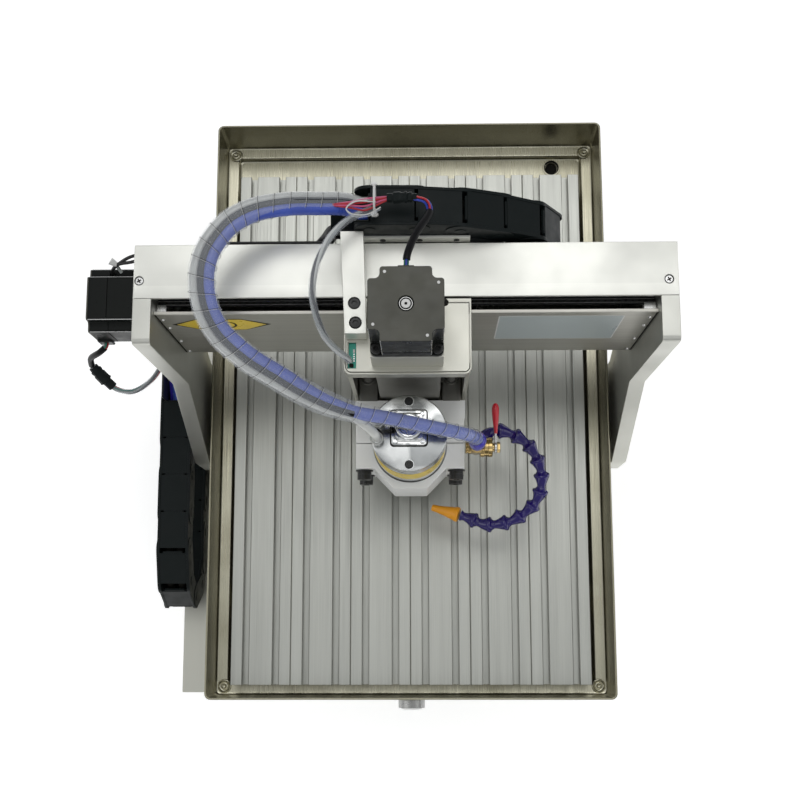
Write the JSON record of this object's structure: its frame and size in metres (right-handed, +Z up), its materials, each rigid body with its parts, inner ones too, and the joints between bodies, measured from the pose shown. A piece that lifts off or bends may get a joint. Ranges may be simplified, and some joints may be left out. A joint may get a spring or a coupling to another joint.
{
  "type": "desktop gantry cnc router",
  "caption": "Moving-gantry desktop CNC router: T-slot table in a coolant tray, ball-screw X, Y and Z axes, water-cooled spindle, drag chains and jointed coolant pipe.",
  "frame": {"origin": "on the floor under the middle of the whole machine's box", "axes": "+X to the operator's right, +Y to the back, +Z up"},
  "size_m": [0.5184, 0.6054, 0.523],
  "materials": {
    "blasted_aluminium": "fine bead-blasted, satin",
    "brushed_aluminium": "drawn along its length, satin",
    "stainless": "warm-toned stainless sheet, satin",
    "ground_steel": "ground and polished",
    "chrome": "mirror polished",
    "motor_black": "black, semi-matte",
    "black_plate": "black anodised, matte",
    "chain_nylon": "black nylon, slightly worn",
    "rubber": "matte",
    "blue_hose": "clear-wrapped blue hose",
    "cable_black": "black sleeved cable",
    "brass": "polished",
    "red_grip": "dipped vinyl grip",
    "purple_acetal": "moulded, semi-gloss",
    "orange_acetal": "moulded, semi-gloss"
  },
  "bodies": {
    "base": {"foot_front_left": "rubber", "foot_front_right": "rubber", "foot_rear_left": "rubber", "foot_rear_right": "rubber", "base_rail_left_with_chain_shelf": "blasted_aluminium", "base_rail_right": "blasted_aluminium", "front_end_plate": "blasted_aluminium", "rear_end_plate": "blasted_aluminium", "coolant_tray": "stainless", "table_bearer_front": "blasted_aluminium", "table_bearer_rear": "blasted_aluminium", "table_plank_1": "brushed_aluminium", "table_plank_2": "brushed_aluminium", "table_plank_3": "brushed_aluminium", "table_plank_4": "brushed_aluminium", "table_plank_5": "brushed_aluminium", "table_plank_6": "brushed_aluminium", "y_guide_shaft_left": "ground_steel", "y_guide_shaft_right": "ground_steel", "y_motor": "motor_black", "y_chain_lower_run": "chain_nylon"},
    "y_screw": {"y_ball_screw": "ground_steel", "hand_knob": "ground_steel"},
    "gantry": {"gantry_leg_left": "blasted_aluminium", "gantry_leg_right": "blasted_aluminium", "gantry_cross_plate_with_nut": "blasted_aluminium", "y_bearing_block_left": "blasted_aluminium", "y_bearing_block_right": "blasted_aluminium", "beam_top_cover": "blasted_aluminium", "beam_back_plate_with_chain_shelf": "black_plate", "beam_front_cover": "blasted_aluminium", "x_guide_shaft_upper": "ground_steel", "x_guide_shaft_lower": "ground_steel", "x_motor": "motor_black", "gantry_wiring": "blue_hose", "x_chain_lower_run": "chain_nylon", "y_chain_upper_run": "chain_nylon"},
    "x_screw": {"x_ball_screw": "ground_steel"},
    "carriage": {"x_bearing_carrier": "blasted_aluminium", "z_housing": "blasted_aluminium", "z_guide_rod_left": "ground_steel", "z_guide_rod_right": "ground_steel", "z_motor": "motor_black", "chain_bracket_arm": "blasted_aluminium", "carriage_wiring": "cable_black", "spindle_hose_bundle": "blue_hose", "x_chain_upper_run": "chain_nylon"},
    "z_screw": {"z_ball_screw": "ground_steel"},
    "z_slide": {"z_slide_saddle": "blasted_aluminium", "spindle_clamp_cap": "blasted_aluminium", "spindle_body": "chrome", "coolant_valve_body": "brass"},
    "spindle_rotor": {"collet_nut": "ground_steel"},
    "valve_lever": {"valve_lever": "red_grip"},
    "coolant_pipe": {"coolant_pipe": "purple_acetal"},
    "coolant_nozzle": {"coolant_nozzle": "orange_acetal"},
    "y_bend_lower": {"y_chain_bend_lower": "chain_nylon"},
    "y_bend_upper": {"y_chain_bend_upper": "chain_nylon"},
    "x_bend_lower": {"x_chain_bend_lower": "chain_nylon"},
    "x_bend_upper": {"x_chain_bend_upper": "chain_nylon"}
  },
  "joints": [
    {"name": "y_axis", "type": "slide", "parent": "base", "child": "gantry", "axis": [0, 1, 0], "range_m": [-0.19, 0.165], "deforming": ["y_chain_upper_run", "y_chain_lower_run"]},
    {"name": "y_screw_turn", "type": "hinge", "parent": "base", "child": "y_screw", "pos_m": [0.03772, -0.00865, 0.055], "axis": [0, 1, 0], "continuous": true},
    {"name": "x_axis", "type": "slide", "parent": "gantry", "child": "carriage", "axis": [1, 0, 0], "range_m": [-0.13, 0.13], "deforming": ["x_chain_upper_run", "x_chain_lower_run"]},
    {"name": "x_screw_turn", "type": "hinge", "parent": "gantry", "child": "x_screw", "pos_m": [0.03772, 0.06435, 0.338], "axis": [1, 0, 0], "continuous": true},
    {"name": "z_axis", "type": "slide", "parent": "carriage", "child": "z_slide", "axis": [0, 0, 1], "range_m": [-0.004, 0.071], "deforming": ["spindle_hose_bundle"]},
    {"name": "z_screw_turn", "type": "hinge", "parent": "carriage", "child": "z_screw", "pos_m": [0.03972, 0.01735, 0.34], "axis": [0, 0, 1], "continuous": true},
    {"name": "spindle_turn", "type": "hinge", "parent": "z_slide", "child": "spindle_rotor", "pos_m": [0.03972, -0.05565, 0.152], "axis": [0, 0, 1], "continuous": true},
    {"name": "valve_lever_turn", "type": "hinge", "parent": "z_slide", "child": "valve_lever", "pos_m": [0.11872, -0.05565, 0.28], "axis": [1, 0, 0], "range_deg": [0, 90]},
    {"name": "coolant_pipe_roll", "type": "hinge", "parent": "z_slide", "child": "coolant_pipe", "pos_m": [0.10972, -0.04565, 0.26], "axis": [0, 1, 0], "range_deg": [-15, 10]},
    {"name": "nozzle_swivel", "type": "hinge", "parent": "coolant_pipe", "child": "coolant_nozzle", "pos_m": [0.08632, -0.11195, 0.2144], "axis": [0, 0, 1], "range_deg": [-12, 12]},
    {"name": "y_bend_lower_follow", "type": "slide", "parent": "base", "child": "y_bend_lower", "axis": [0, 1, 0], "range_m": [-0.0955, 0.083]},
    {"name": "y_bend_upper_follow", "type": "slide", "parent": "gantry", "child": "y_bend_upper", "axis": [0, 1, 0], "range_m": [-0.083, 0.0955]},
    {"name": "x_bend_lower_follow", "type": "slide", "parent": "gantry", "child": "x_bend_lower", "axis": [1, 0, 0], "range_m": [-0.0655, 0.0655]},
    {"name": "x_bend_upper_follow", "type": "slide", "parent": "carriage", "child": "x_bend_upper", "axis": [1, 0, 0], "range_m": [-0.0655, 0.0655]}
  ],
  "couplings": [
    {"joint": "y_screw_turn", "follows": "y_axis", "rad_per_m": 1256.6},
    {"joint": "x_screw_turn", "follows": "x_axis", "rad_per_m": 1256.6},
    {"joint": "z_screw_turn", "follows": "z_axis", "rad_per_m": 1256.6},
    {"joint": "y_bend_lower_follow", "follows": "y_axis", "ratio": 0.5},
    {"joint": "y_bend_upper_follow", "follows": "y_axis", "ratio": -0.5},
    {"joint": "x_bend_lower_follow", "follows": "x_axis", "ratio": 0.5},
    {"joint": "x_bend_upper_follow", "follows": "x_axis", "ratio": -0.5}
  ]
}
